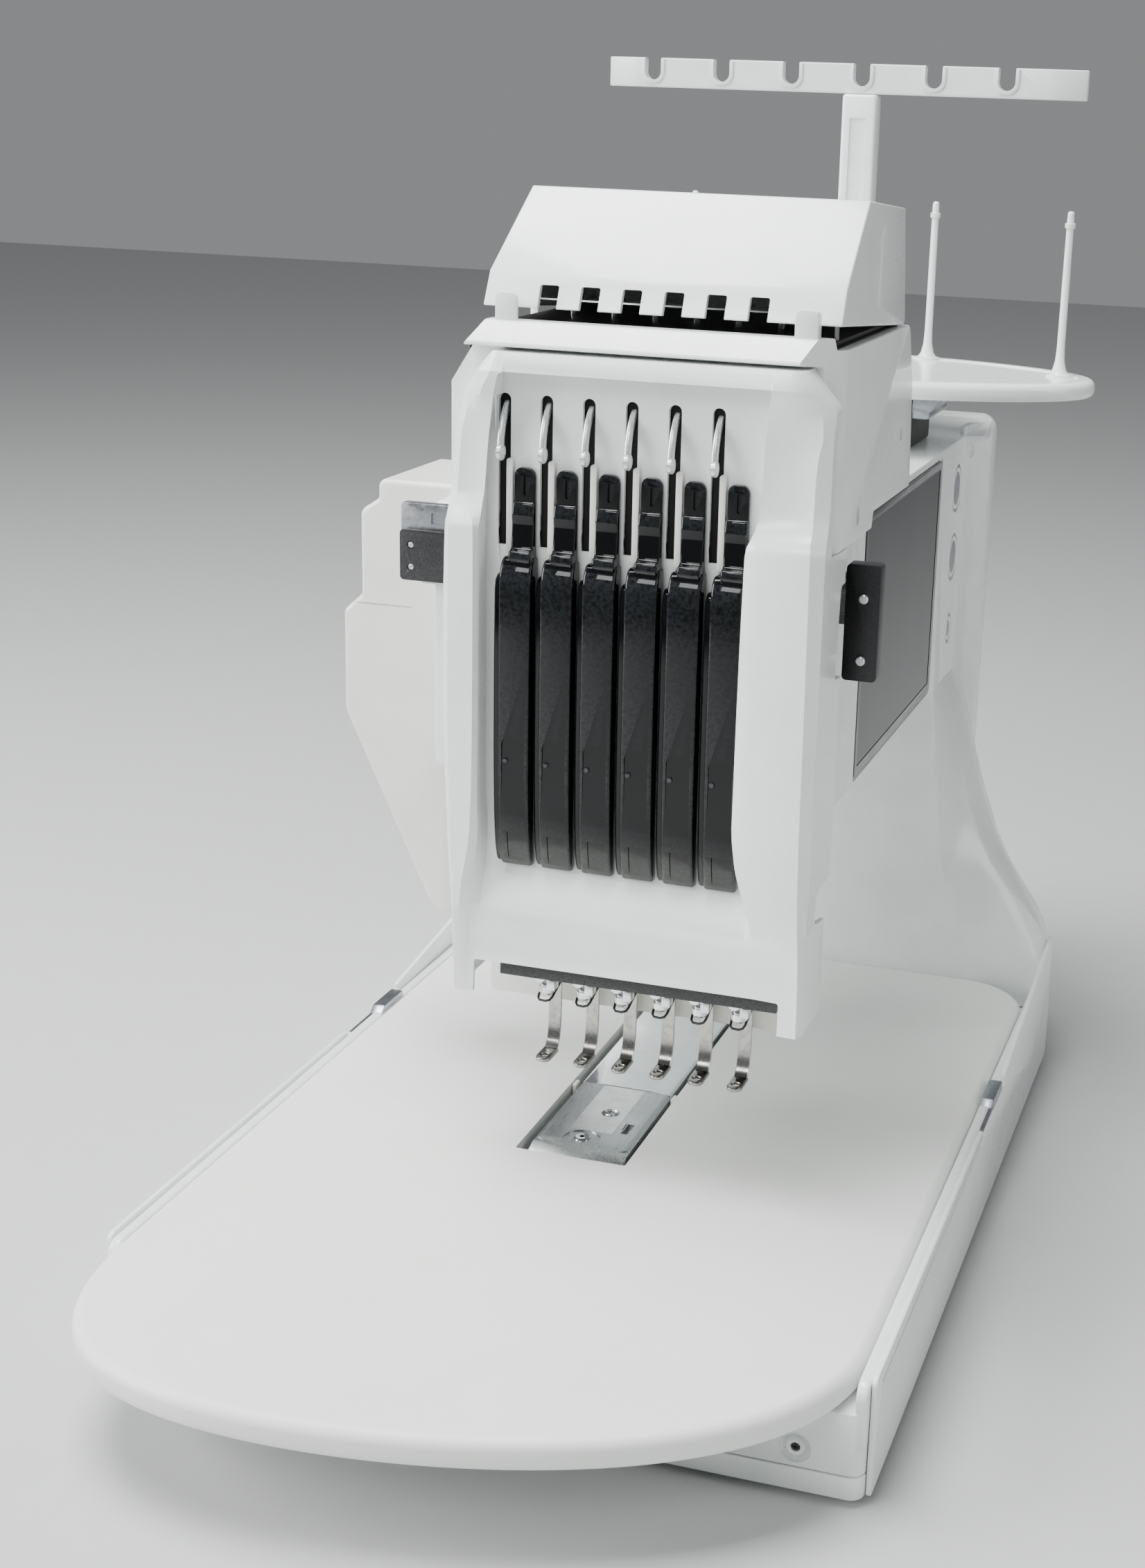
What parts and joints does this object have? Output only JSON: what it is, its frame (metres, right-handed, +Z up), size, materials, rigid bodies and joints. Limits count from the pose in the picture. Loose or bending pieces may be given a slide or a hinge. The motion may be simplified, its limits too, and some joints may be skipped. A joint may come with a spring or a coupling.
{
  "type": "embroidery machine",
  "caption": "Free-standing multi-needle embroidery machine: flat table, free arm, arm with a side screen, sliding needle case with smoked thread covers, spool plate and thread stand.",
  "frame": {"origin": "middle of the footprint's bounding box, on the surface the machine stands on", "axes": "+Z up, +Y from the user towards the back of the machine, +X to the user's right, where the screen is"},
  "size_m": [0.434, 0.808, 0.704],
  "materials": {
    "white_shell": "smooth moulded white plastic, soft gloss",
    "table_white": "fine matt texture",
    "warm_white": "smooth off-white plastic",
    "frosted": "frosted, slightly translucent plastic",
    "smoked_cover": "polished smoked plastic",
    "screen": "dark glossy screen glass",
    "black_plate": "satin black coating",
    "chrome": "bright plated steel",
    "satin_steel": "satin ground steel",
    "cast_grey": "fine cast aluminium",
    "dark_plastic": "dark moulded plastic",
    "circuit_board": "coated circuit board"
  },
  "bodies": {
    "machine": {"arm_cover": "chrome", "arm_shell": "white_shell", "base_shell": "white_shell", "base_tray": "white_shell", "bobbin_case": "satin_steel", "case_rail": "satin_steel", "column_shell": "white_shell", "control_board": "circuit_board", "drive_casing": "warm_white", "end_plate_left": "black_plate", "end_plate_right": "black_plate", "free_arm_body": "cast_grey", "main_motor": "dark_plastic", "needle_plate": "satin_steel", "power_inlet": "dark_plastic", "power_supply": "satin_steel", "rear_cover": "white_shell", "screen_glass": "screen", "side_panel_left": "white_shell", "side_panel_right": "white_shell", "spool_mount": "dark_plastic", "spool_plate": "white_shell", "table_top": "table_white"},
    "needle_case": {"front_cover": "white_shell", "head_body": "white_shell", "case_frame": "cast_grey", "bottom_plate": "cast_grey", "tension_base": "dark_plastic", "thread_cover_1": "smoked_cover", "thread_cover_2": "smoked_cover", "thread_cover_3": "smoked_cover", "thread_cover_4": "smoked_cover", "thread_cover_5": "smoked_cover", "thread_cover_6": "smoked_cover"},
    "tension_lid": {"tension_cover": "white_shell"},
    "thread_stand": {"thread_post": "white_shell", "thread_bar": "frosted"},
    "hook": {"rotary_hook": "satin_steel"},
    "main_shaft": {"main_shaft": "satin_steel"},
    "button_top": {"button_top": "white_shell"},
    "button_middle": {"button_middle": "white_shell"},
    "button_bottom": {"button_bottom": "white_shell"},
    "needle_bar_1": {"needle_bar_1": "chrome"},
    "take_up_lever_1": {"take_up_lever_1": "satin_steel"},
    "presser_foot_1": {"presser_foot_1": "chrome"},
    "needle_bar_2": {"needle_bar_2": "chrome"},
    "take_up_lever_2": {"take_up_lever_2": "satin_steel"},
    "presser_foot_2": {"presser_foot_2": "chrome"},
    "needle_bar_3": {"needle_bar_3": "chrome"},
    "take_up_lever_3": {"take_up_lever_3": "satin_steel"},
    "presser_foot_3": {"presser_foot_3": "chrome"},
    "needle_bar_4": {"needle_bar_4": "chrome"},
    "take_up_lever_4": {"take_up_lever_4": "satin_steel"},
    "presser_foot_4": {"presser_foot_4": "chrome"},
    "needle_bar_5": {"needle_bar_5": "chrome"},
    "take_up_lever_5": {"take_up_lever_5": "satin_steel"},
    "presser_foot_5": {"presser_foot_5": "chrome"},
    "needle_bar_6": {"needle_bar_6": "chrome"},
    "take_up_lever_6": {"take_up_lever_6": "satin_steel"},
    "presser_foot_6": {"presser_foot_6": "chrome"}
  },
  "joints": [
    {"name": "needle_case_shift", "type": "slide", "parent": "machine", "child": "needle_case", "axis": [1, 0, 0], "range_m": [-0.096, 0.024]},
    {"name": "tension_lid_hinge", "type": "hinge", "parent": "needle_case", "child": "tension_lid", "pos_m": [0, 0.055, 0.5605], "axis": [-1, 0, 0], "range_deg": [0, 75]},
    {"name": "thread_stand_height", "type": "slide", "parent": "machine", "child": "thread_stand", "axis": [0, 0, 1], "range_m": [-0.06, 0]},
    {"name": "hook_spin", "type": "hinge", "parent": "machine", "child": "hook", "pos_m": [-0.013, -0.066, 0.045], "axis": [0, 1, 0], "continuous": true},
    {"name": "main_shaft_spin", "type": "hinge", "parent": "machine", "child": "main_shaft", "pos_m": [0, -0.006, 0.405], "axis": [0, 1, 0], "continuous": true},
    {"name": "button_top_press", "type": "slide", "parent": "machine", "child": "button_top", "axis": [-1, 0, 0], "range_m": [0, 0.002], "stiffness_N_per_m": 400},
    {"name": "button_middle_press", "type": "slide", "parent": "machine", "child": "button_middle", "axis": [-1, 0, 0], "range_m": [0, 0.002], "stiffness_N_per_m": 400},
    {"name": "button_bottom_press", "type": "slide", "parent": "machine", "child": "button_bottom", "axis": [-1, 0, 0], "range_m": [0, 0.002], "stiffness_N_per_m": 400},
    {"name": "needle_bar_1_stroke", "type": "slide", "parent": "needle_case", "child": "needle_bar_1", "axis": [0, 0, 1], "range_m": [-0.048, 0]},
    {"name": "take_up_lever_1_swing", "type": "hinge", "parent": "needle_case", "child": "take_up_lever_1", "pos_m": [-0.0503, -0.068, 0.474], "axis": [1, 0, 0], "range_deg": [0, 45.5]},
    {"name": "presser_foot_1_lift", "type": "slide", "parent": "needle_case", "child": "presser_foot_1", "axis": [0, 0, 1], "range_m": [-0.0482, 0]},
    {"name": "needle_bar_2_stroke", "type": "slide", "parent": "needle_case", "child": "needle_bar_2", "axis": [0, 0, 1], "range_m": [-0.048, 0]},
    {"name": "take_up_lever_2_swing", "type": "hinge", "parent": "needle_case", "child": "take_up_lever_2", "pos_m": [-0.0263, -0.068, 0.474], "axis": [1, 0, 0], "range_deg": [0, 45.5]},
    {"name": "presser_foot_2_lift", "type": "slide", "parent": "needle_case", "child": "presser_foot_2", "axis": [0, 0, 1], "range_m": [-0.0482, 0]},
    {"name": "needle_bar_3_stroke", "type": "slide", "parent": "needle_case", "child": "needle_bar_3", "axis": [0, 0, 1], "range_m": [-0.048, 0]},
    {"name": "take_up_lever_3_swing", "type": "hinge", "parent": "needle_case", "child": "take_up_lever_3", "pos_m": [-0.0023, -0.068, 0.474], "axis": [1, 0, 0], "range_deg": [0, 45.5]},
    {"name": "presser_foot_3_lift", "type": "slide", "parent": "needle_case", "child": "presser_foot_3", "axis": [0, 0, 1], "range_m": [-0.0482, 0]},
    {"name": "needle_bar_4_stroke", "type": "slide", "parent": "needle_case", "child": "needle_bar_4", "axis": [0, 0, 1], "range_m": [-0.048, 0]},
    {"name": "take_up_lever_4_swing", "type": "hinge", "parent": "needle_case", "child": "take_up_lever_4", "pos_m": [0.0217, -0.068, 0.474], "axis": [1, 0, 0], "range_deg": [0, 45.5]},
    {"name": "presser_foot_4_lift", "type": "slide", "parent": "needle_case", "child": "presser_foot_4", "axis": [0, 0, 1], "range_m": [-0.0482, 0]},
    {"name": "needle_bar_5_stroke", "type": "slide", "parent": "needle_case", "child": "needle_bar_5", "axis": [0, 0, 1], "range_m": [-0.048, 0]},
    {"name": "take_up_lever_5_swing", "type": "hinge", "parent": "needle_case", "child": "take_up_lever_5", "pos_m": [0.0457, -0.068, 0.474], "axis": [1, 0, 0], "range_deg": [0, 45.5]},
    {"name": "presser_foot_5_lift", "type": "slide", "parent": "needle_case", "child": "presser_foot_5", "axis": [0, 0, 1], "range_m": [-0.0482, 0]},
    {"name": "needle_bar_6_stroke", "type": "slide", "parent": "needle_case", "child": "needle_bar_6", "axis": [0, 0, 1], "range_m": [-0.048, 0]},
    {"name": "take_up_lever_6_swing", "type": "hinge", "parent": "needle_case", "child": "take_up_lever_6", "pos_m": [0.0697, -0.068, 0.474], "axis": [1, 0, 0], "range_deg": [0, 45.5]},
    {"name": "presser_foot_6_lift", "type": "slide", "parent": "needle_case", "child": "presser_foot_6", "axis": [0, 0, 1], "range_m": [-0.0482, 0]}
  ],
  "couplings": [
    {"joint": "hook_spin", "follows": "main_shaft_spin", "ratio": -2},
    {"joint": "take_up_lever_1_swing", "follows": "needle_bar_1_stroke", "rad_per_m": -16.363},
    {"joint": "presser_foot_1_lift", "follows": "needle_bar_1_stroke", "ratio": 1},
    {"joint": "take_up_lever_2_swing", "follows": "needle_bar_2_stroke", "rad_per_m": -16.363},
    {"joint": "presser_foot_2_lift", "follows": "needle_bar_2_stroke", "ratio": 1},
    {"joint": "take_up_lever_3_swing", "follows": "needle_bar_3_stroke", "rad_per_m": -16.363},
    {"joint": "presser_foot_3_lift", "follows": "needle_bar_3_stroke", "ratio": 1},
    {"joint": "take_up_lever_4_swing", "follows": "needle_bar_4_stroke", "rad_per_m": -16.363},
    {"joint": "presser_foot_4_lift", "follows": "needle_bar_4_stroke", "ratio": 1},
    {"joint": "take_up_lever_5_swing", "follows": "needle_bar_5_stroke", "rad_per_m": -16.363},
    {"joint": "presser_foot_5_lift", "follows": "needle_bar_5_stroke", "ratio": 1},
    {"joint": "take_up_lever_6_swing", "follows": "needle_bar_6_stroke", "rad_per_m": -16.363},
    {"joint": "presser_foot_6_lift", "follows": "needle_bar_6_stroke", "ratio": 1}
  ]
}
